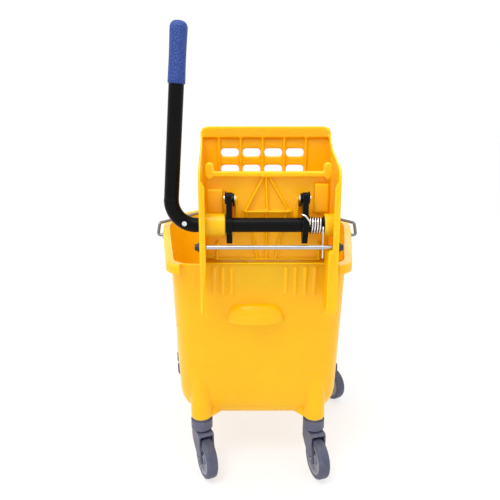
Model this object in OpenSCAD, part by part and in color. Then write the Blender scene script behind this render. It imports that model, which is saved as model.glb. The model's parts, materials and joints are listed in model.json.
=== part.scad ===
// Mop bucket on four casters with a side-press wringer.
// Frame: origin on the floor under the middle of the object, +Z up,
// -Y towards the wringer end, +X to the right when facing that end.

/* [Bucket] */
// Half width of the bucket at its widest, at the rim
half_width = 197; // [185:1:205]
// How fast the sides narrow towards the wringer end
side_taper = 0.195; // [0.15:0.005:0.22]
// Where the bucket is widest, along Y
widest_y = 94; // [80:1:105]
// Outside of the wringer end wall at the rim, along Y
near_y = -238; // [-242:1:-234]
// Outside of the far end wall at the rim, along Y
far_y = 268; // [255:1:275]
// Rim height at the wringer end
rim_near_z = 437; // [434:0.5:438]
// Slope of the rim, rising towards the pouring end
rim_tilt = 1.7; // [0:0.1:2.5]
// Wall thickness of the bucket
wall = 4; // [3:0.5:5]
// Underside of the bucket
base_z = 115; // [115:1:121]
// How far the rim flange stands out
flange_out = 11; // [8:1:12]
// Height of the rim flange
flange_h = 16; // [15:1:20]

/* [Casters] */
// Radius of the wheels over the tyre
wheel_r = 38; // [36:0.5:39]
// Width of the tyre
tyre_w = 21; // [18:1:23]
// Distance from the swivel axis back to the axle
trail = 25; // [24:1:30]
// How far the left caster at the wringer end is turned at rest
near_left_yaw = 24; // [0:1:359]
// How far the right caster at the wringer end is turned at rest
near_right_yaw = 16; // [0:1:359]
// How far the left caster at the pouring end is turned at rest
far_left_yaw = 170; // [0:1:359]
// How far the right caster at the pouring end is turned at rest
far_right_yaw = 30; // [0:1:359]
// Swivel axes of the wringer end casters, either side of the middle
near_stem_x = 108; // [104:1:110]
// Swivel axes of the wringer end casters, along Y
near_stem_y = -164; // [-168:1:-158]
// Swivel axes of the pouring end casters, either side of the middle
far_stem_x = 176; // [174:1:180]
// Swivel axes of the pouring end casters, along Y
far_stem_y = 125; // [118:1:130]
// Underside of the bucket's legs
leg_z = 114; // [110:1:114]
// Radius of the bucket's legs
leg_r = 20; // [18:0.5:21]

/* [Wringer] */
// Middle of the wringer along X
wringer_x = 14.5; // [10:0.5:16]
// Half width of the wringer at its open edge
wringer_half = 107; // [105:0.5:108]
// How far each side wall turns outwards
side_angle = 4; // [3:0.1:4.5]
// Top of the perforated wall
wringer_top = 657; // [645:1:660]
// Bottom of the wringer's basket
basket_z = 392; // [385:1:400]
// Depth of the pressing plate's hinge behind the shaft axis
plate_back = 26; // [25:0.5:28]
// Half width of the pressing plate
plate_half = 99.5; // [96:0.5:100]

/* [Handle] */
// Radius of the handle tube
tube_r = 11.5; // [11:0.1:11.8]
// Height of the shaft's axis
shaft_z = 505; // [502:0.5:508]
// How far the upright tube leans inwards
lean = 4.5; // [2:0.1:4.5]
// Length of the grip
grip_len = 88; // [80:1:110]
// Radius of the grip
grip_r = 13.2; // [12.6:0.1:13.2]

/* [Bail] */
// Radius of the bail wire
wire_r = 3.3; // [2.5:0.1:3.5]
// Pivot of the bail, along Y
bail_y = 22; // [10:1:30]

/* [Hidden] */

yellow = [1, 0.76, 0.1];
grey = [0.42, 0.43, 0.48];
tyre_grey = [0.3, 0.31, 0.35];
black = [0.09, 0.09, 0.1];
steel = [0.75, 0.76, 0.78];
blue = [0.13, 0.3, 0.68];

// Running clearance of every pin and shaft
run = 0.05;
eps = 0.01;
big = 1000;

// ---- Bucket outlines ----
corner_r = 38;
crown = 50;
far_power = 2.4;
corner_steps = 8;
side_steps = 8;
far_steps = 22;
// Slopes of the sides, the wringer end and the far end
side_slope = 0.042;
near_slope = 0.235;
far_slope = 0.265;
round_h = 50;
round_in = 34;
round_steps = 5;
floor_t = 6;

// Levels of the body over a floor at z0: height, then how far in the sides and both ends are
function insets(z, extra) = [z, (rim_near_z - z) * side_slope + extra,
  (rim_near_z - z) * near_slope + 0.4 * extra, (rim_near_z - z) * far_slope + 1.1 * extra];
function body_levels(z0, top) = concat([insets(top, 0)],
  [for (i = [0:round_steps]) let (t = 90 * i / round_steps)
    insets(z0 + round_h * (1 - sin(t)), round_in * (1 - cos(t)))]);

// Half width of the bucket at y between the wringer end and the widest place
function side_x(y) = half_width - side_taper * (sqrt(pow(widest_y - y, 2) + crown * crown) - crown);

// Right half of the outline, from the middle of the wringer end to the middle of the far end
function half_outline(side_in, near_in, far_in) =
  let (y0 = near_y + near_in, y1 = far_y - far_in, cy = y0 + corner_r,
       cx = side_x(cy) - side_in - corner_r, a = half_width - side_in, b = y1 - widest_y)
  concat(
    [for (i = [0:corner_steps]) let (t = -90 + 81 * i / corner_steps)
      [cx + corner_r * cos(t), cy + corner_r * sin(t)]],
    [for (i = [1:side_steps - 1]) let (y = cy + (widest_y - cy) * i / side_steps)
      [side_x(y) - side_in, y]],
    [for (i = [0:far_steps - 1]) let (t = 90 * i / far_steps)
      [a * pow(cos(t), 2 / far_power), widest_y + b * pow(sin(t), 2 / far_power)]],
    [[0, y1]]);

function mirrored(points) = [for (i = [len(points) - 2:-1:0]) [-points[i][0], points[i][1]]];

module outline(side_in, near_in, far_in) {
  right = half_outline(side_in, near_in, far_in);
  polygon(concat(right, mirrored(right)));
}

module loft(table, inset) {
  hull()
    for (l = table)
      translate([0, 0, l[0]])
        linear_extrude(eps)
          outline(l[1] + inset, l[2] + inset, l[3] + inset);
}

function rim_z(y) = rim_near_z + (y - near_y) * tan(rim_tilt);

// Moves its children to the sloping plane of the rim
module at_rim() {
  translate([0, near_y, rim_near_z])
    rotate([rim_tilt, 0, 0])
      translate([0, -near_y, 0])
        children();
}

// ---- Bucket ----
flange_t = 3;
flange_gap = 129;
bail_drop = 13.5;
bail_z = rim_z(bail_y) - bail_drop;
bush_r = 7;
bush_x = side_x(bail_y) + flange_out - 6;
bush_len = 7;
bail_end_x = 212;

module flange() {
  difference() {
    at_rim()
      difference() {
        translate([0, 0, -flange_h])
          linear_extrude(flange_h)
            outline(-flange_out, -flange_out, -flange_out);
        translate([0, 0, -flange_h - flange_t])
          linear_extrude(flange_h)
            outline(flange_t - flange_out, flange_t - flange_out, flange_t - flange_out);
        translate([0, 0, -flange_h - 1])
          linear_extrude(flange_h + 2)
            outline(1, 1, 1);
      }
    // The flange stops either side of the wringer
    translate([-flange_gap, near_y - 60, 0])
      cube([2 * flange_gap, 130, big]);
  }
}

module bail_ears() {
  for (s = [-1, 1])
    translate([s * (side_x(bail_y) + flange_out - 6), bail_y, bail_z])
      rotate([0, s * 90, 0])
        cylinder(r = bush_r + 3.5, h = 6 - eps, $fn = 48);
}

module legs() {
  for (s = [-1, 1]) {
    translate([s * near_stem_x, near_stem_y, leg_z])
      cylinder(r = leg_r, h = 118, $fn = 64);
    translate([s * near_stem_x, near_stem_y, leg_z + 118])
      sphere(r = leg_r, $fn = 48);
    // Web from the leg's foot up to the underside
    hull() {
      translate([s * (near_stem_x - 7), near_stem_y, leg_z])
        cylinder(r = 13, h = eps, $fn = 32);
      translate([s * (near_stem_x - 26), near_stem_y + 14, base_z + 1])
        cylinder(r = 10, h = 14, $fn = 32);
    }
    translate([s * far_stem_x, far_stem_y, leg_z])
      cylinder(r = leg_r, h = 150, $fn = 64);
    translate([s * far_stem_x, far_stem_y, leg_z + 150])
      sphere(r = leg_r, $fn = 48);
  }
}

stem_r = 5.5;
stem_top = 172;

module stem_bores() {
  for (s = [-1, 1])
    for (p = [[near_stem_x, near_stem_y], [far_stem_x, far_stem_y]])
      translate([s * p[0], p[1], leg_z - 1])
        cylinder(r = stem_r + run, h = stem_top + 1 - leg_z + 1, $fn = 48);
}

// Solid round each stem, so that its bore never breaks into the bucket
module stem_pillars() {
  for (s = [-1, 1]) {
    translate([s * near_stem_x, near_stem_y, base_z])
      cylinder(r = 12, h = stem_top + 8 - base_z, $fn = 48);
    translate([s * far_stem_x, far_stem_y, base_z])
      cylinder(r = 12, h = stem_top + 8 - base_z, $fn = 48);
  }
}

pull_z0 = 328;
pull_z1 = 364;
pull_x = -6;
pull_half = 50;
pull_out = 24;
pull_skin = 5;
moon_steps = 20;
hood_steps = 6;

function near_wall_y(z) = near_y + (rim_near_z - z) * near_slope;

// Thin half-moon plate, flat side on the wall
module half_moon(half, out, back) {
  linear_extrude(eps)
    polygon(concat([[-half, back], [-half, 0]],
      [for (i = [1:moon_steps - 1]) let (t = 180 - 180 * i / moon_steps)
        [half * cos(t), -out * sin(t)]],
      [[half, 0], [half, back]]));
}

// Hood that swells out of the wall from nothing to its full depth at the lower lip
module pull_hood(half, out, z0, z1, back) {
  hull()
    for (k = [0:hood_steps])
      let (t = 86 * k / hood_steps, z = z0 + (z1 - z0) * sin(t))
        translate([pull_x, near_wall_y(z) + 0.4, z])
          half_moon(half * pow(cos(t), 0.45), out * pow(cos(t), 0.8), back);
}

rib_w = 5;
rib_out = 2;
rib_len = 52;
wall_slope = atan(near_slope);

// Shallow stiffening ribs under the rim at the wringer end
module wall_ribs() {
  for (x = [-74, -60, -46, 44, 60, 76, 92])
    translate([x, near_y, rim_near_z - 6])
      rotate([wall_slope, 0, 0])
        translate([-rib_w / 2, -rib_out, -rib_len])
          cube([rib_w, rib_out + 2, rib_len]);
}

module bucket_shell() {
  color(yellow)
    difference() {
      union() {
        difference() {
          union() {
            loft(body_levels(base_z, 472), 0);
            legs();
            pull_hood(pull_half, pull_out, pull_z0, pull_z1, wall);
            wall_ribs();
          }
          loft(body_levels(base_z + floor_t, 474), wall);
          at_rim()
            translate([-big / 2, -big / 2, 0])
              cube(big);
        }
        flange();
        bail_ears();
        stem_pillars();
      }
      stem_bores();
      // Finger room behind the lip
      translate([0, -2, -1])
        pull_hood(pull_half - pull_skin, pull_out - pull_skin, pull_z0, pull_z1 - pull_skin, 1);
      for (s = [-1, 1])
        translate([s * (bush_x - 30), bail_y, bail_z])
          rotate([0, s * 90, 0])
            cylinder(r = bush_r, h = 60, $fn = 48);
    }
}

module bail_bushes() {
  color(grey)
    for (s = [-1, 1])
      translate([s * bush_x, bail_y, bail_z])
        rotate([0, s * 90, 0])
          difference() {
            cylinder(r = bush_r, h = bush_len, $fn = 48);
            translate([0, 0, -1])
              cylinder(r = wire_r + run, h = bush_len + 2, $fn = 48);
          }
}

// ---- Bail ----
bail_top_z = 457;
bail_far_y = far_y;
bail_far_z = rim_z(bail_far_y) + wire_r + 0.4;
bail_far_x = 80;

// Straight round bar between two points
module bar(p, q, r) {
  d = q - p;
  l = norm(d);
  translate(p)
    rotate([0, acos(d[2] / l), atan2(d[1], d[0])])
      cylinder(r = r, h = l, $fn = 32);
}

module bail() {
  color(steel)
    for (s = [-1, 1]) {
      inner = [s * (bush_x - 4), bail_y, bail_z];
      low = [s * bail_end_x, bail_y, bail_z];
      high = [s * (bail_end_x - 4), bail_y + 4, bail_top_z];
      corner = [s * bail_far_x, bail_far_y, bail_far_z];
      bar(inner, low, wire_r);
      bar(low, high, wire_r);
      bar(high, corner, wire_r);
      bar(corner, [-s * eps, bail_far_y, bail_far_z], wire_r);
      for (p = [low, high, corner])
        translate(p)
          sphere(r = wire_r + 0.25, $fn = 32);
    }
}

// ---- Casters ----
fork_top = 88;
fork_gap = tyre_w + 3;
fork_t = 3.2;
fork_w = fork_gap + 2 * fork_t;
axle_r = 4;
hub_r = 29;
neck_h = 4.5;

yaws = [[near_left_yaw, near_right_yaw], [far_left_yaw, far_right_yaw]];

module at_caster(sx, far) {
  translate([sx * (far ? far_stem_x : near_stem_x), far ? far_stem_y : near_stem_y, 0])
    rotate([0, 0, yaws[far ? 1 : 0][sx > 0 ? 1 : 0]])
      children();
}

module collar() {
  color(grey)
    difference() {
      union() {
        translate([0, 0, leg_z - neck_h])
          cylinder(r = leg_r - 2.5, h = neck_h, $fn = 64);
        translate([0, 0, fork_top + 4])
          cylinder(r = leg_r + 0.5, h = leg_z - neck_h - fork_top - 4, $fn = 64);
        translate([0, 0, fork_top + 0.4])
          cylinder(r1 = leg_r - 3, r2 = leg_r + 0.5, h = 3.6, $fn = 64);
      }
      translate([0, 0, fork_top - 1])
        cylinder(r = stem_r + run, h = leg_z - fork_top + 2, $fn = 48);
    }
}

// Side view of the fork: rounded crown, cheeks that narrow to the axle
module fork_profile() {
  axle_y = -trail;
  polygon(concat(
    [[-23, fork_top], [17, fork_top], [18, fork_top - 4], [17, fork_top - 24],
      [8, fork_top - 34]],
    [for (i = [0:12]) let (t = -20 - 160 * i / 12) [axle_y + 10 * cos(t), wheel_r + 10 * sin(t)]],
    [[axle_y - 6, wheel_r + 14], [-26, fork_top - 22], [-26, fork_top - 4]]));
}

module fork() {
  color(grey)
    difference() {
      translate([-fork_w / 2, 0, 0])
        rotate([90, 0, 90])
          linear_extrude(fork_w)
            fork_profile();
      // Room for the wheel, closed at the top and at the back of the crown
      translate([-fork_gap / 2, -60, -1])
        cube([fork_gap, 60 + 14.5, fork_top - 5.5 + 1 - 0]);
      translate([-fork_gap / 2, 0, -1])
        cube([fork_gap, 40, fork_top - 24]);
      translate([-fork_w, -trail, wheel_r])
        rotate([0, 90, 0])
          cylinder(r = axle_r, h = 2 * fork_w, $fn = 40);
      translate([0, 0, fork_top - 20])
        cylinder(r = stem_r, h = 30, $fn = 48);
    }
}

module stem() {
  color(steel) {
    translate([0, 0, fork_top - 5.5])
      cylinder(r = stem_r, h = stem_top - fork_top + 5.5, $fn = 48);
    translate([0, 0, fork_top - 8.5])
      cylinder(r = 8, h = 3, $fn = 48);
  }
}

module axle() {
  color(steel) {
    translate([-fork_w / 2, -trail, wheel_r])
      rotate([0, 90, 0])
        cylinder(r = axle_r, h = fork_w, $fn = 40);
    for (s = [-1, 1])
      translate([s * fork_w / 2, -trail, wheel_r])
        rotate([0, s * 90, 0])
          cylinder(r1 = 6.5, r2 = 5, h = 2.5, $fn = 40);
  }
}

// Wheel centre with a dished web on each side
module wheel() {
  color(grey)
    translate([0, -trail, wheel_r])
      rotate([0, 90, 0])
        rotate_extrude($fn = 72)
          polygon([[axle_r + run, -tyre_w / 2 - 0.8], [10, -tyre_w / 2 - 0.8], [11, -6],
            [22, -6], [25, -tyre_w / 2 + 0.4], [hub_r, -tyre_w / 2 + 0.4],
            [hub_r, tyre_w / 2 - 0.4], [25, tyre_w / 2 - 0.4], [22, 6], [11, 6],
            [10, tyre_w / 2 + 0.8], [axle_r + run, tyre_w / 2 + 0.8]]);
}

module tyre() {
  color(tyre_grey)
    translate([0, -trail, wheel_r])
      rotate([0, 90, 0])
        rotate_extrude($fn = 72)
          polygon([[hub_r, -tyre_w / 2 + 0.4], [hub_r + 1, -tyre_w / 2],
            [wheel_r - 4, -tyre_w / 2], [wheel_r - 1.2, -tyre_w / 2 + 1.6],
            [wheel_r, -tyre_w / 2 + 5], [wheel_r, tyre_w / 2 - 5],
            [wheel_r - 1.2, tyre_w / 2 - 1.6], [wheel_r - 4, tyre_w / 2],
            [hub_r + 1, tyre_w / 2], [hub_r, tyre_w / 2 - 0.4]]);
}

// ---- Wringer ----
open_y = -284;
shaft_y = -252;
rod_y = -271;
rod_z = 473;
rod_r = 3.4;
hinge_y = shaft_y + plate_back + 4;
hinge_z = 447;
hinge_r = 3;
screen_y = -60;
side_t = 4;
boss_r = 18;
bush_out = 14;
arm_left_x = -62;
arm_right_x = 57;
arm_t = 9;
leg_back_y = -242;
inside_y = -214;
seat_z = rim_z(near_y + wall) + 0.3;
seat_t = 2.2;
pin_wall = 6;

module side_profile() {
  polygon([[0, 375], [3, 367], [10, 363], [30, 363], [38, 368], [leg_back_y - open_y, 378],
    [leg_back_y - open_y, seat_z], [inside_y - open_y, seat_z], [inside_y - open_y, basket_z],
    [screen_y - open_y, basket_z], [screen_y - open_y, wringer_top - 15],
    [212, wringer_top - 17], [202, wringer_top - 21], [186, wringer_top - 28],
    [160, wringer_top - 37],
    [130, wringer_top - 43], [70, wringer_top - 52], [20, wringer_top - 60],
    [8, wringer_top - 64], [2, wringer_top - 71], [0, wringer_top - 79]]);
}

// Flange along the open edge of a side wall, narrowing to its foot
flange_edge = [[1, 372], [3.5, 372], [9.5, 446], [9.5, 566], [6, 574], [1, 574]];

module side_wall(s) {
  translate([wringer_x + s * wringer_half, open_y, 0])
    rotate([0, 0, -s * side_angle]) {
      translate([s > 0 ? -side_t : 0, 0, 0])
        rotate([90, 0, 90])
          linear_extrude(side_t)
            side_profile();
      upright_sheet(0.4, 6)
        polygon([for (p = flange_edge) [-s * p[0], p[1]]]);
    }
}

screen_half = wringer_half + (screen_y - open_y) * tan(side_angle);
hole_w = 33;
hole_h = 15;
hole_pitch_x = 41;
hole_pitch_z = 31;
hole_x0 = wringer_x - 6;
hole_top = 616.5;
hole_rows = 5;
lip_h = 21;
lip_front = screen_y - 10;
lip_back = screen_y + 24;

// Rectangle with rounded corners, centred
module rounded(w, h, r) {
  polygon([for (c = [[1, 1, 0], [-1, 1, 90], [-1, -1, 180], [1, -1, 270]])
    for (i = [0:4])
      [c[0] * (w / 2 - r) + r * cos(c[2] + i * 22.5),
       c[1] * (h / 2 - r) + r * sin(c[2] + i * 22.5)]]);
}

// Drawn in X and Z, then given a depth from y0 to y1
module upright_sheet(y0, y1) {
  translate([0, y1, 0])
    rotate([90, 0, 0])
      linear_extrude(y1 - y0)
        children();
}

module screen() {
  difference() {
    upright_sheet(screen_y - side_t, screen_y)
      translate([wringer_x, (wringer_top + basket_z) / 2])
        square([2 * screen_half - 4, wringer_top - basket_z - 6], center = true);
    for (c = [0:3])
      for (r = [0:hole_rows - 1])
        upright_sheet(screen_y - 20, screen_y + 20)
          translate([hole_x0 + (c - 1.5) * hole_pitch_x, hole_top - hole_h / 2 - r * hole_pitch_z])
            rounded(hole_w, hole_h, 6);
  }
  // Upright bars between the columns of holes
  for (c = [-2:2])
    translate([hole_x0 + c * hole_pitch_x - 2, screen_y - side_t - 5, basket_z + 4])
      cube([4, 6, wringer_top - basket_z - 8]);
}

// Inverted channel along the top of the perforated wall
module top_channel() {
  intersection() {
    upright_sheet(lip_front, lip_back)
      translate([wringer_x, wringer_top - 50])
        rounded(2 * screen_half, 100, 15);
    difference() {
      translate([wringer_x - 150, lip_front, wringer_top - 40])
        cube([300, lip_back - lip_front, 40]);
      translate([wringer_x - 150, lip_front + 3.5, wringer_top - 41])
        cube([300, lip_back - lip_front - 7, 37.5]);
      translate([wringer_x - 150, lip_front - 1, wringer_top - 41])
        cube([300, 10, 41 - lip_h]);
      // The back lip stops short at the left, where the grip swings past
      translate([wringer_x - 150, lip_back - 10, wringer_top - 41])
        cube([150 - screen_half + 7, 11, 42]);
    }
  }
}

module basket_floor() {
  difference() {
    translate([wringer_x, 0, basket_z + 0.6])
      linear_extrude(3.6)
        polygon([[-112, inside_y], [112, inside_y], [screen_half - 2, screen_y],
          [2 - screen_half, screen_y]]);
    for (i = [-3:3])
      for (j = [0:2])
        translate([wringer_x + i * 29, inside_y + 30 + j * 45, basket_z - 1])
          linear_extrude(6)
            rounded(16, 30, 6);
  }
}

module frame_bosses() {
  left_out = wringer_x - wringer_half - 1;
  translate([left_out, shaft_y, shaft_z])
    rotate([0, 90, 0])
      cylinder(r = boss_r, h = arm_left_x - arm_t / 2 - 1 + wringer_half + 1, $fn = 64);
  translate([wringer_x + 86.5, shaft_y, shaft_z])
    rotate([0, 90, 0])
      cylinder(r = boss_r, h = wringer_half - 86.5 + 1, $fn = 64);
}

module frame_bores() {
  // Shaft bushes: the left bore goes through, the right one is blind
  translate([wringer_x - wringer_half - 10, shaft_y, shaft_z])
    rotate([0, 90, 0])
      cylinder(r = bush_out, h = 80, $fn = 64);
  translate([wringer_x + 60, shaft_y, shaft_z])
    rotate([0, 90, 0])
      cylinder(r = bush_out, h = wringer_half - 60 - 4, $fn = 64);
  translate([wringer_x - 150, rod_y, rod_z])
    rotate([0, 90, 0])
      cylinder(r = rod_r + run, h = 300, $fn = 40);
  translate([wringer_x - 150, hinge_y, hinge_z])
    rotate([0, 90, 0])
      cylinder(r = hinge_r + run, h = 300, $fn = 40);
}

// Thick rounded foot of the right side wall, outside the bucket
module right_foot() {
  upright_sheet(open_y + 1, leg_back_y)
    translate([wringer_x + wringer_half - 9, (363 + 470) / 2])
      rounded(14, 470 - 363, 6.9);
}

module wringer_frame() {
  color(yellow)
    difference() {
      union() {
        side_wall(-1);
        side_wall(1);
        right_foot();
        screen();
        top_channel();
        basket_floor();
        // Seat that rests on the rim, and the apron inside the bucket
        translate([wringer_x - wringer_half, leg_back_y, seat_z])
          cube([2 * wringer_half, inside_y - leg_back_y + 3, seat_t]);
        translate([wringer_x - 111, inside_y, basket_z])
          cube([222, 3, seat_z + seat_t - basket_z]);
        frame_bosses();
      }
      frame_bores();
    }
}

module tie_rod() {
  color(steel)
    translate([wringer_x - wringer_half - 7, rod_y, rod_z])
      rotate([0, 90, 0])
        cylinder(r = rod_r, h = 2 * wringer_half + 14, $fn = 40);
}

module tie_rod_caps() {
  color(black)
    for (s = [-1, 1])
      translate([wringer_x + s * (wringer_half + 1.6), rod_y, rod_z])
        rotate([0, s * 90, 0])
          difference() {
            union() {
              cylinder(r = 7.5, h = 1.6, $fn = 48);
              cylinder(r1 = 6, r2 = 5, h = 6.5, $fn = 48);
            }
            translate([0, 0, -1])
              cylinder(r = rod_r, h = 6.4, $fn = 40);
          }
}

module shaft_bush(from, to) {
  color(black)
    translate([wringer_x + from, shaft_y, shaft_z])
      rotate([0, 90, 0])
        difference() {
          cylinder(r = bush_out, h = to - from, $fn = 64);
          translate([0, 0, -1])
            cylinder(r = tube_r + run, h = to - from + 2, $fn = 64);
        }
}

// ---- Pressing plate ----
plate_t = 4;
plate_face = hinge_y - 4;
plate_z0 = 441.5;
plate_z1 = 586;
guide_h = 8;
rib_h = 8;

// Straight rib on the plate's outer side, between two points given as [x, z]
module plate_rib(p, q, depth) {
  d = q - p;
  translate([wringer_x + p[0], plate_face + 1, p[1]])
    rotate([0, -atan2(d[1], d[0]), 0])
      translate([0, -depth - 1, -1.4])
        cube([norm(d), depth + 1, 2.8]);
}

module press_plate() {
  color(yellow)
    difference() {
      union() {
        translate([wringer_x - plate_half, plate_face, plate_z0])
          cube([2 * plate_half, plate_t, plate_z1 - plate_z0]);
        // Top lip with a raised ear at each end
        translate([wringer_x - plate_half, plate_face - 12, plate_z1 - 7])
          cube([2 * plate_half, 12 + plate_t, 8]);
        for (s = [-1, 1])
          upright_sheet(plate_face - 12, plate_face + plate_t)
            translate([wringer_x + s * (plate_half - 6), plate_z1 + 2])
              rounded(12, 26, 5.9);
        // Lower lip
        translate([wringer_x - plate_half + 12, plate_face - 5, plate_z0])
          cube([2 * plate_half - 24, 6, 3.5]);
        // Fan of ribs above and below the shaft
        for (i = [-1:1])
          plate_rib([-4 + i * 4, plate_z1 - 6], [-2 + i * 35, 524], rib_h - 0.4 * i);
        plate_rib([-40, 523], [38, 523], rib_h + 1);
        for (i = [-1:1])
          plate_rib([-3 + i * 33, 523], [-3 + i * 14, plate_z0 + 2], rib_h - 1.2);
        for (x = [-plate_half + 16, plate_half - 16])
          plate_rib([x, plate_z0 + 1], [x, 472], 7);
        // Hollow-looking blocks at each side
        translate([wringer_x - plate_half + 1, plate_face - 9, 517])
          cube([25, 10, 42]);
        translate([wringer_x + plate_half - 26, plate_face - 9, 522])
          cube([22, 10, 46]);
        // Hinge knuckles, which also keep the plate clear of the side walls
        for (s = [-1, 1])
          translate([wringer_x + s * (plate_half - 12), hinge_y, hinge_z])
            rotate([0, s * 90, 0])
              cylinder(r = pin_wall, h = 19, $fn = 48);
        // Open guides that the links push and slide in
        for (x = [link_left_x, link_right_x])
          for (s = [-1, 1])
            translate([wringer_x + x + s * 3.8 - 1.5, plate_face - guide_h, hinge_z + 58])
              cube([3, guide_h + 1, 40]);
      }
      for (s = [-1, 1])
        translate([wringer_x + s * (plate_half - 16), hinge_y, hinge_z])
          rotate([0, s * 90, 0])
            cylinder(r = hinge_r, h = 40, $fn = 40);
    }
}

module plate_pins() {
  color(steel)
    for (s = [-1, 1])
      translate([wringer_x + s * (plate_half - 16), hinge_y, hinge_z])
        rotate([0, s * 90, 0])
          cylinder(r = hinge_r, h = 27.5, $fn = 40);
}

// ---- Handle ----
bend_r = 38;
bend_x = wringer_x - 167.5;
shaft_left = bend_x + 15.5 + bend_r;
shaft_end = wringer_x + wringer_half - 6;
bore_r = tube_r - 2;
upright_len = 171;
bend_lap = 3;
swage = 0.3;
// How far round the bend the snap button sits
button_turn = 27;

// Shaft, bend and upright as one run of round bar of radius r, swaged a little at the bend
module tube_run(r) {
  translate([shaft_left - bend_lap, shaft_y, shaft_z])
    rotate([0, 90, 0])
      cylinder(r = r, h = shaft_end - shaft_left + bend_lap, $fn = 64);
  translate([shaft_left, shaft_y, shaft_z + bend_r])
    rotate([90, 0, 0])
      rotate([0, 0, 180 - lean])
        rotate_extrude(angle = 90 + lean, $fn = 96)
          translate([bend_r, 0])
            circle(r = r + swage, $fn = 48);
  at_upright(-bend_lap)
    cylinder(r = r, h = upright_len + 60 + bend_lap, $fn = 64);
}

// Frame of the upright: its own Z runs up the tube, height h above the bend
module at_upright(h) {
  translate([shaft_left, shaft_y, shaft_z + bend_r])
    rotate([0, lean, 0])
      translate([-bend_r, 0, h])
        children();
}

module handle_tube() {
  color(black)
    difference() {
      tube_run(tube_r);
      tube_run(bore_r);
      // Open both ends
      translate([shaft_end - 20, shaft_y, shaft_z])
        rotate([0, 90, 0])
          cylinder(r = bore_r, h = 30, $fn = 48);
      at_upright(upright_len)
        cylinder(r = bore_r, h = 80, $fn = 48);
      button_shape();
    }
}

// Snap button that fills its hole in the tube
module button_shape() {
  translate([shaft_left - bend_r * sin(button_turn), shaft_y - bore_r + 3,
    shaft_z + bend_r * (1 - cos(button_turn))])
    rotate([90, 0, 0])
      cylinder(r1 = 5, r2 = 3.8, h = 6.4, $fn = 40);
}

module handle_grip() {
  color(blue)
    at_upright(upright_len)
      difference() {
        union() {
          cylinder(r = grip_r, h = grip_len - 7, $fn = 64);
          translate([0, 0, grip_len - 7])
            cylinder(r1 = grip_r, r2 = grip_r - 2, h = 4, $fn = 64);
          translate([0, 0, grip_len - 3])
            cylinder(r1 = grip_r - 2, r2 = grip_r - 6, h = 3, $fn = 64);
        }
        translate([0, 0, -1])
          cylinder(r = tube_r, h = 61, $fn = 64);
      }
}

module snap_button() {
  color(steel)
    button_shape();
}

module shaft_plug() {
  color(black)
    translate([shaft_end - 20, shaft_y, shaft_z])
      rotate([0, 90, 0])
        cylinder(r = bore_r, h = 20, $fn = 48);
}

arm_pin_z = shaft_z + 43;
arm_pin_r = 3;
tail_r = 29.5;

// Side view of a pushing arm: tapering neck above the hub, short tail below it
arm_outline = [[-14, 6], [-8, arm_pin_z - shaft_z], [8, arm_pin_z - shaft_z], [14, 6],
  [14, -8], [5, -tail_r + 3], [3, -tail_r], [-3, -tail_r], [-5, -tail_r + 3], [-14, -8]];

module arm(x) {
  color(black)
    translate([wringer_x + x - arm_t / 2, shaft_y, shaft_z])
      rotate([90, 0, 90])
        difference() {
          union() {
            cylinder(r = 17, h = arm_t, $fn = 64);
            translate([0, arm_pin_z - shaft_z, 0])
              cylinder(r = 8.4, h = arm_t, $fn = 48);
            linear_extrude(arm_t)
              polygon(arm_outline);
          }
          translate([0, 0, -1])
            cylinder(r = tube_r, h = arm_t + 2, $fn = 64);
          translate([0, arm_pin_z - shaft_z, -1])
            cylinder(r = arm_pin_r, h = arm_t + 2, $fn = 40);
        }
}

// Each link lies against the inner side of its arm
link_t = 3;
link_left_x = arm_left_x + arm_t / 2 + 0.4 + link_t / 2;
link_right_x = arm_right_x - arm_t / 2 - 0.4 - link_t / 2;
link_len = 23;
link_angle = -30;

module link(x) {
  color(black)
    translate([wringer_x + x - link_t / 2, shaft_y, arm_pin_z])
      rotate([90, 0, 90])
        rotate([0, 0, link_angle])
          difference() {
            union() {
              cylinder(r = 7, h = link_t, $fn = 48);
              translate([0, -4.8, 0])
                cube([link_len, 9.6, link_t]);
              translate([link_len, 0, 0])
                cylinder(r = 5, h = link_t, $fn = 48);
            }
            translate([0, 0, -1])
              cylinder(r = arm_pin_r + run, h = link_t + 2, $fn = 40);
          }
}

// Pins stand 1 mm out of the links on the inside and take a washer on the outside
module arm_pins() {
  color(steel)
    for (k = [[arm_left_x, -1], [arm_right_x, 1]])
      translate([wringer_x + k[0] - k[1] * (arm_t / 2 + 0.8 + link_t), shaft_y, arm_pin_z])
        rotate([0, k[1] * 90, 0]) {
          cylinder(r = arm_pin_r, h = arm_t + link_t + 4.8, $fn = 40);
          translate([0, 0, -2])
            cylinder(r1 = 4.2, r2 = 5.2, h = 2, $fn = 40);
        }
}

washer_teeth = 10;

module star_washers() {
  color(black)
    for (k = [[arm_left_x, -1], [arm_right_x, 1]])
      translate([wringer_x + k[0] + k[1] * arm_t / 2, shaft_y, arm_pin_z])
        rotate([0, k[1] * 90, 0])
          difference() {
            linear_extrude(2)
              polygon([for (i = [0:2 * washer_teeth - 1])
                let (r = i % 2 == 0 ? 10 : 7.4) [r * cos(i * 180 / washer_teeth),
                  r * sin(i * 180 / washer_teeth)]]);
            translate([0, 0, -1])
              cylinder(r = arm_pin_r, h = 4, $fn = 40);
          }
}

// ---- Return spring ----
coil_r = 13.6;
coil_wire = 1.45;
coil_turns = 5;
coil_pitch = 4.1;
coil_x = wringer_x + arm_right_x + arm_t / 2 + coil_wire + 0.6;
coil_steps = 20;
wire_sides = 8;

function coil_point(a) = [coil_x + coil_pitch * a / 360, shaft_y - coil_r * cos(a),
  shaft_z + coil_r * sin(a)];

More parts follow.
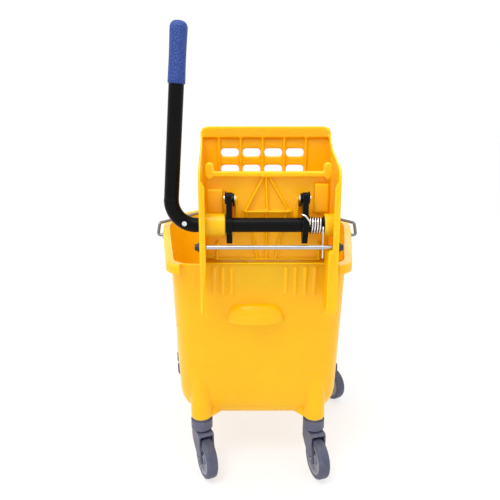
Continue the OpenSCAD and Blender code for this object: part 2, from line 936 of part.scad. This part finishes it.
// The wire: hook over the arm, the coils, then the leg down behind the tie rod
spring_path = concat(
  [[coil_x - 12.5, shaft_y - 15, shaft_z + 19], [coil_x - 7, shaft_y - 18.6, shaft_z + 17],
    [coil_x - 0.6, shaft_y - 18.5, shaft_z + 8]],
  [for (i = [0:coil_turns * coil_steps]) coil_point(i * 360 / coil_steps)],
  [[coil_x + coil_pitch * coil_turns + 0.4, shaft_y - coil_r, shaft_z - 8],
    [coil_x + coil_pitch * coil_turns + 0.6, shaft_y - coil_r, shaft_z - 28],
    [coil_x + coil_pitch * coil_turns + 0.6, shaft_y - coil_r, shaft_z - 50]]);

function unit(v) = v / norm(v);
function along(path, i) = unit(path[min(i + 1, len(path) - 1)] - path[max(i - 1, 0)]);
// One ring of the wire, square to the path, kept level with the X axis
function ring(path, i, r, n) =
  let (t = along(path, i), u = unit(cross(t, [1, 0.02, 0.01])), v = cross(t, u))
  [for (k = [0:n - 1]) path[i] + r * (u * cos(360 * k / n) + v * sin(360 * k / n))];

module swept_wire(path, r, n) {
  m = len(path);
  points = [for (i = [0:m - 1]) each ring(path, i, r, n)];
  sides = [for (i = [0:m - 2]) for (k = [0:n - 1])
    [i * n + k, i * n + (k + 1) % n, (i + 1) * n + (k + 1) % n, (i + 1) * n + k]];
  polyhedron(points, concat(sides, [[for (k = [n - 1:-1:0]) k],
    [for (k = [0:n - 1]) (m - 1) * n + k]]));
}

module return_spring() {
  color(steel)
    swept_wire(spring_path, coil_wire, wire_sides);
}

bucket_shell();
bail();
bail_bushes();
at_caster(-1, false) collar();  // collar_near_left
at_caster(1, false) collar();  // collar_near_right
at_caster(-1, true) collar();  // collar_far_left
at_caster(1, true) collar();  // collar_far_right
at_caster(-1, false) fork();  // fork_near_left
at_caster(1, false) fork();  // fork_near_right
at_caster(-1, true) fork();  // fork_far_left
at_caster(1, true) fork();  // fork_far_right
at_caster(-1, false) stem();  // stem_near_left
at_caster(1, false) stem();  // stem_near_right
at_caster(-1, true) stem();  // stem_far_left
at_caster(1, true) stem();  // stem_far_right
at_caster(-1, false) axle();  // axle_near_left
at_caster(1, false) axle();  // axle_near_right
at_caster(-1, true) axle();  // axle_far_left
at_caster(1, true) axle();  // axle_far_right
at_caster(-1, false) wheel();  // wheel_near_left
at_caster(1, false) wheel();  // wheel_near_right
at_caster(-1, true) wheel();  // wheel_far_left
at_caster(1, true) wheel();  // wheel_far_right
at_caster(-1, false) tyre();  // tyre_near_left
at_caster(1, false) tyre();  // tyre_near_right
at_caster(-1, true) tyre();  // tyre_far_left
at_caster(1, true) tyre();  // tyre_far_right
wringer_frame();
tie_rod();
tie_rod_caps();
shaft_bush(-wringer_half + 0.4, arm_left_x - arm_t / 2 - 1);  // shaft_bush_left
shaft_bush(86.5, wringer_half - 4.2);  // shaft_bush_right
press_plate();
plate_pins();
handle_tube();
handle_grip();
snap_button();
shaft_plug();
arm(arm_left_x);  // arm_left
arm(arm_right_x);  // arm_right
arm_pins();
star_washers();
link(link_left_x);  // link_left
link(link_right_x);  // link_right
return_spring();
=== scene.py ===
import bpy
import bmesh
import json
import math
from mathutils import Matrix, Vector

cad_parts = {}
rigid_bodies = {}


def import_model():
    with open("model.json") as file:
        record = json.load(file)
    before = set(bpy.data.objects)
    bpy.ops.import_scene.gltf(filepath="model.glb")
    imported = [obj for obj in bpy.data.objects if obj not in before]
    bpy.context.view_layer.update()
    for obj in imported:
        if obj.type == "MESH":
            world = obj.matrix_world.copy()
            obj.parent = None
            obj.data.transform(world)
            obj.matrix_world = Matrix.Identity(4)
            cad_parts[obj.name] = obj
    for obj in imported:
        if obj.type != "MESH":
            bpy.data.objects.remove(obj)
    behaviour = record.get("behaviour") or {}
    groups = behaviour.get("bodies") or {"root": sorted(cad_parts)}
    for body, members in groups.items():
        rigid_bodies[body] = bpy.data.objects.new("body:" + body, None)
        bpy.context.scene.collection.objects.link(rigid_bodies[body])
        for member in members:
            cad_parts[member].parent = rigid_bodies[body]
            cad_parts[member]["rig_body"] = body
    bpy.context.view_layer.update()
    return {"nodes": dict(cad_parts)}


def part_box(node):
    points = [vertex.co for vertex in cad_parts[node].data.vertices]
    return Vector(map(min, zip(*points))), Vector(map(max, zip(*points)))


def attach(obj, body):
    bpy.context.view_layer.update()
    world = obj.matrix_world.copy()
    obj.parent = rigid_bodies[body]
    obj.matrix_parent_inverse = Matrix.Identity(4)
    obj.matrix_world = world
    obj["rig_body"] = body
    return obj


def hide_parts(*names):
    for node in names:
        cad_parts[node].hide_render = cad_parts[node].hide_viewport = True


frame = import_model()
nodes = frame["nodes"]
CORNERS = ("near_left", "near_right", "far_left", "far_right")
MM = 0.001


# ---------------------------------------------------------------- camera, lights and floor
CAMERA_PLACE = (-0.015, -1.028, 0.652)
CAMERA_DIPS = 13.6          # degrees below level
SENSOR = 36                 # mm; the lens is as long as the sensor is wide
SKY_STRENGTH = 1.02
FLOOR_GREY = 0.32
FLOOR_GLOW = 0.66


def make_camera():
    data = bpy.data.cameras.new("camera")
    data.lens = SENSOR
    data.sensor_width = SENSOR
    cam = bpy.data.objects.new("camera", data)
    cam.location = CAMERA_PLACE
    cam.rotation_euler = (math.radians(90 - CAMERA_DIPS), 0, 0)
    bpy.context.scene.collection.objects.link(cam)
    bpy.context.scene.camera = cam


def area_light(name, place, aim, size, watts):
    data = bpy.data.lights.new(name, "AREA")
    data.shape = "RECTANGLE"
    data.size, data.size_y = size
    data.energy = watts
    lamp = bpy.data.objects.new(name, data)
    lamp.location = place
    lamp.rotation_euler = (Vector(aim) - Vector(place)).to_track_quat("-Z", "Y").to_euler()
    bpy.context.scene.collection.objects.link(lamp)


def make_world():
    world = bpy.data.worlds.new("world")
    world.use_nodes = True
    sky = world.node_tree.nodes["Background"]
    sky.inputs["Color"].default_value = (1, 1, 1, 1)
    sky.inputs["Strength"].default_value = SKY_STRENGTH
    bpy.context.scene.world = world


def make_floor():
    """A wide pale floor that glows a little, so that it stays as light as the world behind it."""
    bpy.ops.mesh.primitive_plane_add(size=60, location=(0, 0, 0))
    floor = bpy.context.object
    floor.name = "floor"
    mat = bpy.data.materials.new("floor")
    mat.use_nodes = True
    shader = mat.node_tree.nodes["Principled BSDF"]
    shader.inputs["Base Color"].default_value = (FLOOR_GREY, FLOOR_GREY, FLOOR_GREY, 1)
    shader.inputs["Roughness"].default_value = 0.9
    shader.inputs["Specular IOR Level"].default_value = 0.1
    shader.inputs["Emission Color"].default_value = (1, 1, 1, 1)
    shader.inputs["Emission Strength"].default_value = FLOOR_GLOW
    floor.data.materials.append(mat)


bpy.context.scene.view_settings.view_transform = "Standard"
make_camera()
make_floor()
make_world()
area_light("key", (-0.9, -1.5, 2.9), (0, -0.2, 0.5), (1.2, 1.2), 40)
area_light("fill", (1.6, -2.2, 1.0), (0, 0, 0.45), (1.6, 1.8), 1)
area_light("top", (0.1, -0.5, 2.6), (0, -0.05, 0.4), (1.2, 1.2), 12)
area_light("back", (0.5, 2.4, 1.6), (0, 0, 0.4), (1.6, 1.2), 6)


# ---------------------------------------------------------------- materials
class Nodes:
    """A small helper that wires one procedural material."""

    def __init__(self, name):
        self.mat = bpy.data.materials.new(name)
        self.mat.use_nodes = True
        self.tree = self.mat.node_tree
        self.shader = self.tree.nodes["Principled BSDF"]
        self.place = self.add("ShaderNodeTexCoord").outputs["Object"]
        self.soft = None
        self.height = None

    def add(self, kind, **values):
        node = self.tree.nodes.new(kind)
        for key, value in values.items():
            setattr(node, key, value)
        return node

    def link(self, a, b):
        self.tree.links.new(a, b)

    def set(self, **values):
        for key, value in values.items():
            self.shader.inputs[key.replace("_", " ")].default_value = value

    def stretched(self, scale):
        mapping = self.add("ShaderNodeMapping")
        mapping.inputs["Scale"].default_value = scale
        self.link(self.place, mapping.inputs["Vector"])
        return mapping.outputs["Vector"]

    def noise(self, scale, detail=2.0, rough=0.5, where=None, distort=0.0):
        node = self.add("ShaderNodeTexNoise")
        node.inputs["Scale"].default_value = scale
        node.inputs["Detail"].default_value = detail
        node.inputs["Roughness"].default_value = rough
        node.inputs["Distortion"].default_value = distort
        self.link(where or self.place, node.inputs["Vector"])
        return node.outputs["Fac"]

    def cells(self, scale):
        node = self.add("ShaderNodeTexVoronoi", feature="F1")
        node.inputs["Scale"].default_value = scale
        self.link(self.place, node.inputs["Vector"])
        return node.outputs["Distance"]

    def ramp(self, value, low, high, out_low=0.0, out_high=1.0):
        node = self.add("ShaderNodeMapRange")
        node.inputs["From Min"].default_value = low
        node.inputs["From Max"].default_value = high
        node.inputs["To Min"].default_value = out_low
        node.inputs["To Max"].default_value = out_high
        self.link(value, node.inputs["Value"])
        return node.outputs["Result"]

    def maths(self, how, a, b):
        node = self.add("ShaderNodeMath", operation=how)
        for socket, value in zip(node.inputs, (a, b)):
            if isinstance(value, (int, float)):
                socket.default_value = value
            else:
                self.link(value, socket)
        return node.outputs[0]

    def mix(self, fac, a, b):
        node = self.add("ShaderNodeMix", data_type="RGBA")
        self.link(fac, node.inputs["Factor"])
        for socket, value in ((node.inputs[6], a), (node.inputs[7], b)):
            if isinstance(value, tuple):
                socket.default_value = (*value, 1)
            else:
                self.link(value, socket)
        return node.outputs[2]

    def rounded_edges(self, radius):
        """Normals softened over the edges, and a mask that is 1 along them, with which the materials paint a
        highlight along their edges.
        """
        soft = self.add("ShaderNodeBevel", samples=4)
        soft.inputs["Radius"].default_value = radius
        geometry = self.add("ShaderNodeNewGeometry")
        dot = self.add("ShaderNodeVectorMath", operation="DOT_PRODUCT")
        self.link(soft.outputs[0], dot.inputs[0])
        self.link(geometry.outputs["Normal"], dot.inputs[1])
        self.soft = soft.outputs[0]
        return self.ramp(dot.outputs["Value"], 0.995, 0.8)

    def bump(self, value, strength, distance):
        node = self.add("ShaderNodeBump")
        node.inputs["Strength"].default_value = strength
        node.inputs["Distance"].default_value = distance
        self.link(value, node.inputs["Height"])
        before = self.height or self.soft
        if before is not None:
            self.link(before, node.inputs["Normal"])
        self.height = node.outputs["Normal"]

    def finish(self, colour, roughness):
        self.link(colour, self.shader.inputs["Base Color"])
        self.link(roughness, self.shader.inputs["Roughness"])
        self.link(self.height, self.shader.inputs["Normal"])
        return self.mat


def moulded_yellow():
    m = Nodes("yellow_moulding")
    edge = m.rounded_edges(0.0016)
    cloud = m.noise(7, 3, 0.55)
    flow = m.noise(1, 4, 0.6, m.stretched((14, 14, 90)), 0.4)
    speck = m.ramp(m.noise(260, 2, 0.6), 0.70, 0.78)
    scratch = m.ramp(m.noise(1, 2, 0.5, m.stretched((420, 420, 9)), 0.8), 0.69, 0.76)
    colour = m.mix(m.ramp(cloud, 0.35, 0.65), (0.93, 0.475, 0.0005), (0.97, 0.505, 0.001))
    colour = m.mix(m.ramp(flow, 0.3, 0.75, 0, 0.22), colour, (0.88, 0.42, 0.0005))
    # painted highlight: the rounded edges are lightened towards a pale yellow, as if light caught them
    colour = m.mix(m.maths("MULTIPLY", edge, 0.4), colour, (1.0, 0.66, 0.02))
    colour = m.mix(m.maths("MULTIPLY", speck, 0.10), colour, (0.35, 0.2, 0.05))
    rough = m.ramp(m.maths("ADD", flow, cloud), 0.6, 1.4, 0.25, 0.36)
    rough = m.maths("ADD", rough, m.maths("MULTIPLY", scratch, 0.14))
    m.bump(m.noise(1100, 2, 0.5), 0.09, 0.0003)
    m.bump(m.noise(16, 2, 0.5), 0.12, 0.0022)
    m.bump(scratch, 0.08, 0.0002)
    m.set(IOR=1.49, Specular_IOR_Level=0.28, Subsurface_Weight=0.7, Subsurface_Scale=0.012)
    m.shader.inputs["Subsurface Radius"].default_value = (1.0, 0.9, 0.05)
    return m.finish(colour, rough)


def satin_grey():
    m = Nodes("grey_nylon")
    edge = m.rounded_edges(0.0009)
    cloud = m.noise(40, 3, 0.6)
    dust = m.ramp(m.noise(18, 4, 0.65), 0.5, 0.75)
    colour = m.mix(cloud, (0.07, 0.074, 0.125), (0.1, 0.104, 0.165))
    # painted highlight: the edges are lightened towards a pale blue-grey, as if light caught them
    colour = m.mix(m.maths("MULTIPLY", edge, 0.5), colour, (0.34, 0.35, 0.41))
    colour = m.mix(m.maths("MULTIPLY", dust, 0.18), colour, (0.33, 0.32, 0.3))
    m.bump(m.noise(1500, 2, 0.6), 0.2, 0.0003)
    return m.finish(colour, m.ramp(cloud, 0.3, 0.7, 0.38, 0.55))


def pale_grey():
    m = Nodes("pale_nylon")
    edge = m.rounded_edges(0.0009)
    cloud = m.noise(55, 3, 0.6)
    colour = m.mix(cloud, (0.20, 0.205, 0.27), (0.27, 0.275, 0.34))
    # painted highlight: the edges are lightened towards a paler grey, as if light caught them
    colour = m.mix(m.maths("MULTIPLY", edge, 0.5), colour, (0.42, 0.43, 0.5))
    m.bump(m.noise(1500, 2, 0.6), 0.2, 0.0003)
    return m.finish(colour, m.ramp(cloud, 0.3, 0.7, 0.35, 0.5))


def grey_tyre():
    m = Nodes("grey_tyre")
    edge = m.rounded_edges(0.0012)
    wear = m.ramp(m.noise(70, 5, 0.65), 0.45, 0.7)
    colour = m.mix(wear, (0.06, 0.066, 0.11), (0.095, 0.102, 0.155))
    # painted highlight: the edges of the tyre are lightened, as if light caught them
    colour = m.mix(m.maths("MULTIPLY", edge, 0.35), colour, (0.24, 0.24, 0.28))
    m.bump(m.noise(900, 3, 0.6), 0.25, 0.0004)
    m.bump(wear, 0.15, 0.0005)
    return m.finish(colour, m.ramp(wear, 0.0, 1.0, 0.5, 0.72))


def bright_steel(name, tone, low, high, along):
    m = Nodes(name)
    streak = m.noise(1, 3, 0.6, m.stretched(along))
    spangle = m.cells(160)
    colour = m.mix(m.ramp(streak, 0.3, 0.7), tuple(0.82 * c for c in tone), tone)
    colour = m.mix(m.ramp(spangle, 0.2, 0.8, 0, 0.2), colour, tuple(0.7 * c for c in tone))
    m.set(Metallic=1.0)
    m.bump(streak, 0.08, 0.0003)
    return m.finish(colour, m.ramp(streak, 0.3, 0.7, low, high))


def black_coat():
    m = Nodes("black_coat")
    edge = m.rounded_edges(0.0009)
    cloud = m.noise(25, 3, 0.6)
    chips = m.ramp(m.noise(210, 3, 0.7), 0.62, 0.68)
    worn = m.maths("MULTIPLY", edge, chips)
    colour = m.mix(cloud, (0.0015, 0.0015, 0.002), (0.004, 0.004, 0.005))
    # painted highlight: every edge is lightened to a dark grey, as if light caught it; the chips on the next
    # line are real wear
    colour = m.mix(m.maths("MULTIPLY", edge, 0.35), colour, (0.07, 0.07, 0.075))
    colour = m.mix(m.maths("MULTIPLY", worn, 0.8), colour, (0.38, 0.38, 0.4))
    m.bump(m.noise(1300, 2, 0.55), 0.22, 0.0003)
    m.set(Specular_IOR_Level=0.09)
    return m.finish(colour, m.ramp(cloud, 0.3, 0.7, 0.24, 0.36))


def black_moulding():
    m = Nodes("black_moulding")
    cloud = m.noise(60, 3, 0.6)
    colour = m.mix(cloud, (0.010, 0.010, 0.012), (0.022, 0.022, 0.024))
    m.bump(m.noise(1400, 2, 0.6), 0.2, 0.0003)
    return m.finish(colour, m.ramp(cloud, 0.3, 0.7, 0.36, 0.5))


def pebbled_blue():
    m = Nodes("blue_grip")
    pebble = m.ramp(m.cells(330), 0.1, 0.62, 1, 0)
    cloud = m.noise(35, 3, 0.6)
    colour = m.mix(cloud, (0.009, 0.045, 0.26), (0.016, 0.066, 0.33))
    # painted shade: the hollows between the pebbles are darkened towards deep blue
    colour = m.mix(m.ramp(pebble, 0.0, 0.5, 0.6, 0.0), colour, (0.006, 0.02, 0.15))
    m.bump(pebble, 0.75, 0.0011)
    return m.finish(colour, m.ramp(cloud, 0.3, 0.7, 0.45, 0.6))


YELLOW = moulded_yellow()
GREY = satin_grey()
PALE = pale_grey()
TYRE = grey_tyre()
CHROME = bright_steel("bright_steel", (0.83, 0.84, 0.86), 0.10, 0.22, (12, 160, 160))
ROD = bright_steel("rod_steel", (0.52, 0.53, 0.56), 0.12, 0.24, (12, 160, 160))
WIRE = bright_steel("zinc_wire", (0.27, 0.275, 0.29), 0.28, 0.45, (90, 90, 90))
DULL = bright_steel("dull_steel", (0.2, 0.205, 0.24), 0.3, 0.45, (90, 90, 90))
COAT = black_coat()
BLACK = black_moulding()
BLUE = pebbled_blue()


# ---------------------------------------------------------------- mesh helpers
def new_piece(name, mesh, material, body, slot, *stands_for):
    piece = bpy.data.objects.new(name, mesh)
    bpy.context.scene.collection.objects.link(piece)
    mesh.materials.append(material)
    mesh.polygons.foreach_set("use_smooth", [True] * len(mesh.polygons))
    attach(piece, body)
    if stands_for:
        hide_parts(*stands_for)
    return piece


def filleted(points, radii, step=5):
    """The path through the points with each inner corner turned on its own radius."""
    points = [Vector(p) for p in points]
    path = [points[0]]
    for i in range(1, len(points) - 1):
        p, a, b = points[i], points[i - 1], points[i + 1]
        u, v = (a - p).normalized(), (b - p).normalized()
        half = u.angle(v) / 2
        cut = radii[i - 1] / math.tan(half)
        centre = p + (u + v).normalized() * (radii[i - 1] / math.sin(half))
        start, end = p + u * cut - centre, p + v * cut - centre
        turn = start.angle(end)
        count = max(3, int(math.degrees(turn) / step))
        for k in range(count + 1):
            t = k / count
            spoke = start * math.sin((1 - t) * turn) + end * math.sin(t * turn)
            path.append(centre + spoke / math.sin(turn))
    path.append(points[-1])
    return path


def circle_point(centre, across, up, radius, k, sides):
    angle = 2 * math.pi * k / sides
    return centre + radius * (across * math.cos(angle) + up * math.sin(angle))


def swept(name, path, radius, sides=20):
    """A round wire along the path, its ends closed with a small dome."""
    path = [Vector(p) for p in path]
    last_i = len(path) - 1
    tangents = [(path[min(i + 1, last_i)] - path[max(i - 1, 0)]).normalized() for i in range(len(path))]
    normal = tangents[0].orthogonal().normalized()
    rings = []
    for p, t in zip(path, tangents):
        normal = (normal - t * normal.dot(t)).normalized()
        rings.append((p, t, normal.copy(), radius))
    dome = [(0.35, 0.94), (0.75, 0.66), (0.95, 0.3)]
    first, last = rings[0], rings[-1]
    head = [(first[0] - first[1] * radius * d, first[1], first[2], radius * r) for d, r in reversed(dome)]
    tail = [(last[0] + last[1] * radius * d, last[1], last[2], radius * r) for d, r in dome]
    bm = bmesh.new()
    loops = []
    for p, t, n, r in head + rings + tail:
        b = t.cross(n)
        loops.append([bm.verts.new(circle_point(p, n, b, r, k, sides)) for k in range(sides)])
    for one, two in zip(loops, loops[1:]):
        for k in range(sides):
            bm.faces.new((one[k], one[(k + 1) % sides], two[(k + 1) % sides], two[k]))
    bm.faces.new(list(reversed(loops[0])))
    bm.faces.new(loops[-1])
    bmesh.ops.recalc_face_normals(bm, faces=bm.faces)
    mesh = bpy.data.meshes.new(name)
    bm.to_mesh(mesh)
    bm.free()
    return mesh


def lathed(name, profile, axis_frame, sides=64):
    """A closed solid of revolution: profile is (radius, height) pairs from the axis back to the axis."""
    across, up = Vector((1, 0, 0)), Vector((0, 1, 0))
    bm = bmesh.new()
    loops = []
    for r, z in profile:
        if r < 1e-6:
            loops.append([bm.verts.new(axis_frame @ Vector((0, 0, z)))])
        else:
            loops.append([bm.verts.new(axis_frame @ circle_point(Vector((0, 0, z)), across, up, r, k, sides))
                          for k in range(sides)])
    for one, two in zip(loops, loops[1:]):
        for k in range(sides):
            a, b = one[k % len(one)], one[(k + 1) % len(one)]
            c, d = two[(k + 1) % len(two)], two[k % len(two)]
            corners = [v for i, v in enumerate((a, b, c, d)) if v not in (a, b, c, d)[:i]]
            if len(corners) > 2:
                bm.faces.new(corners)
    bmesh.ops.recalc_face_normals(bm, faces=bm.faces)
    mesh = bpy.data.meshes.new(name)
    bm.to_mesh(mesh)
    bm.free()
    return mesh


def moulded(node, voxel, rounds, material, slot):
    """A softened copy of a CAD node: its edges and inner corners rounded as a mould leaves them."""
    source = nodes[node]
    body = source["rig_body"]
    scratch = bpy.data.objects.new("scratch", source.data.copy())
    bpy.context.scene.collection.objects.link(scratch)
    weld = scratch.modifiers.new("weld", "WELD")
    weld.merge_threshold = 1e-6
    remesh = scratch.modifiers.new("remesh", "REMESH")
    remesh.mode = "VOXEL"
    remesh.voxel_size = voxel
    smooth = scratch.modifiers.new("smooth", "SMOOTH")
    smooth.iterations = rounds
    smooth.factor = 0.5
    bpy.context.view_layer.update()
    mesh = bpy.data.meshes.new_from_object(scratch.evaluated_get(bpy.context.evaluated_depsgraph_get()))
    bpy.data.objects.remove(scratch)
    mesh.name = node + "_moulding"
    mesh.materials.clear()
    return new_piece(node + "_moulding", mesh, material, body, slot, node)


# ---------------------------------------------------------------- softened mouldings
# voxel size, then smoothing rounds: a thin-walled part takes the smaller voxel
moulded("bucket_shell", 1.7 * MM, 5, YELLOW, "yellow_shell")
moulded("wringer_frame", 1.5 * MM, 4, YELLOW, "yellow_shell")
moulded("press_plate", 1.1 * MM, 4, YELLOW, "yellow_shell")
for corner in CORNERS:
    moulded(f"fork_{corner}", 0.8 * MM, 4, GREY, "grey_plastic")


# ---------------------------------------------------------------- CAD nodes that stay
FINISHES = {
    "bail_bushes": GREY, "tie_rod": ROD, "tie_rod_caps": BLACK,
    "shaft_bush_left": BLACK, "shaft_bush_right": BLACK, "plate_pins": CHROME,
    "handle_tube": COAT, "snap_button": CHROME, "shaft_plug": BLACK,
    "arm_left": COAT, "arm_right": COAT, "arm_pins": CHROME, "star_washers": COAT,
    "link_left": COAT, "link_right": COAT,
}
for corner in CORNERS:
    FINISHES.update({f"collar_{corner}": GREY, f"stem_{corner}": CHROME,
                     f"axle_{corner}": DULL, f"wheel_{corner}": PALE, f"tyre_{corner}": TYRE})
for name, finish in FINISHES.items():
    mesh = nodes[name].data
    mesh.materials.clear()
    mesh.materials.append(finish)


# ---------------------------------------------------------------- bail wire
RIM_SLOPE = math.radians(1.7)
INSIDE_BOX = 0.3 * MM         # a replacement stays this far inside the box of the node it stands for


def bail_wire():
    """From each bush out and up round the rim, then along it and across the pouring end."""
    wire_r = 3.3 * MM
    rim_above_pivot = 13.5 * MM
    rim_gap = 0.4 * MM
    low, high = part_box("bail")
    bush_low, bush_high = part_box("bail_bushes")
    pivot_y, pivot_z = (bush_low.y + bush_high.y) / 2, (bush_low.z + bush_high.z) / 2
    out_x = high.x - wire_r - INSIDE_BOX
    far_x = 80 * MM
    far_y = high.y - wire_r - INSIDE_BOX
    far_z = pivot_z + rim_above_pivot + (far_y - pivot_y) * math.tan(RIM_SLOPE) + wire_r + rim_gap
    shoulder = (out_x - 4 * MM, pivot_y + 4 * MM, 457 * MM)
    in_bush = (bush_high.x - 8 * MM, pivot_y, pivot_z)
    half = [in_bush, (out_x, pivot_y, pivot_z), shoulder, (far_x, far_y, far_z)]
    path = [(-x, y, z) for x, y, z in half] + [(x, y, z) for x, y, z in reversed(half)]
    bends = [5 * MM, 6 * MM, 14 * MM]
    wire = swept("bail_wire", filleted(path, bends + bends[::-1]), wire_r)
    new_piece("bail_wire", wire, WIRE, "bail_body", "zinc_wire", "bail")


bail_wire()


# ---------------------------------------------------------------- return spring
shaft_y, shaft_z = -252 * MM, 505 * MM


def spring_wire():
    """A hook that reaches to the arm, then five turns round the shaft, then a straight leg down."""
    coil_r, coil_wire, turns, pitch = 13.6 * MM, 1.45 * MM, 5, 4.1 * MM
    low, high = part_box("return_spring")
    first_x = high.x - coil_wire - pitch * turns - 0.6 * MM
    coil = []
    for i in range(turns * 36 + 1):
        a = math.radians(i * 10)
        x = first_x + pitch * a / (2 * math.pi)
        coil.append(Vector((x, shaft_y - coil_r * math.cos(a), shaft_z + coil_r * math.sin(a))))
    hook = [(first_x - 12.5 * MM, shaft_y - 15 * MM, shaft_z + 19 * MM),
            (first_x - 7 * MM, shaft_y - 18.6 * MM, shaft_z + 17 * MM),
            (first_x - 0.6 * MM, shaft_y - 18.5 * MM, shaft_z + 8 * MM)]
    last_x = coil[-1].x
    leg = [(last_x + 0.4 * MM, shaft_y - coil_r, shaft_z - 8 * MM),
           (last_x + 0.6 * MM, shaft_y - coil_r, shaft_z - 28 * MM),
           (last_x + 0.6 * MM, shaft_y - coil_r, shaft_z - 50 * MM)]
    start = filleted(hook + [coil[0]], [4 * MM, 3 * MM], 12)
    end = filleted([coil[-1]] + leg, [4 * MM, 20 * MM], 2)
    wire = swept("spring_wire", start + coil[1:-1] + end, coil_wire, 12)
    new_piece("spring_wire", wire, CHROME, "wringer", "bright_steel", "return_spring")


spring_wire()


# ---------------------------------------------------------------- soft grip
def soft_grip():
    """A slightly waisted sleeve with a small chamfer below and a rounded end above."""
    lean = math.radians(4.5)
    shaft_left, bend_r, up_len = -99.5 * MM, 38 * MM, 171 * MM
    grip_r, grip_len = 13.2 * MM, 88 * MM
    waist, waist_from, dome_h, end_gap = 0.5 * MM, 2.5 * MM, 11 * MM, 0.2 * MM
    waist_steps, dome_steps, squareness = 12, 8, 0.62
    profile = [(0, end_gap), (grip_r - 2 * MM, end_gap), (grip_r - 0.7 * MM, 0.9 * MM), (grip_r, waist_from)]
    for k in range(1, waist_steps + 1):
        share = k / waist_steps
        r = grip_r - waist * math.sin(math.pi * share)
        profile.append((r, waist_from + (grip_len - dome_h - waist_from) * share))
    for k in range(1, dome_steps + 1):
        t = math.radians(90 * k / dome_steps)
        r = max(0, grip_r * math.cos(t) ** squareness)
        profile.append((r, grip_len - dome_h + (dome_h - end_gap) * math.sin(t)))
    profile[-1] = (0, grip_len - end_gap)
    upright = (Matrix.Translation((shaft_left, shaft_y, shaft_z + bend_r)) @ Matrix.Rotation(lean, 4, "Y")
               @ Matrix.Translation((-bend_r, 0, up_len)))
    sleeve = lathed("soft_grip", profile, upright)
    new_piece("soft_grip", sleeve, BLUE, "handle", "blue_rubber", "handle_grip")


soft_grip()
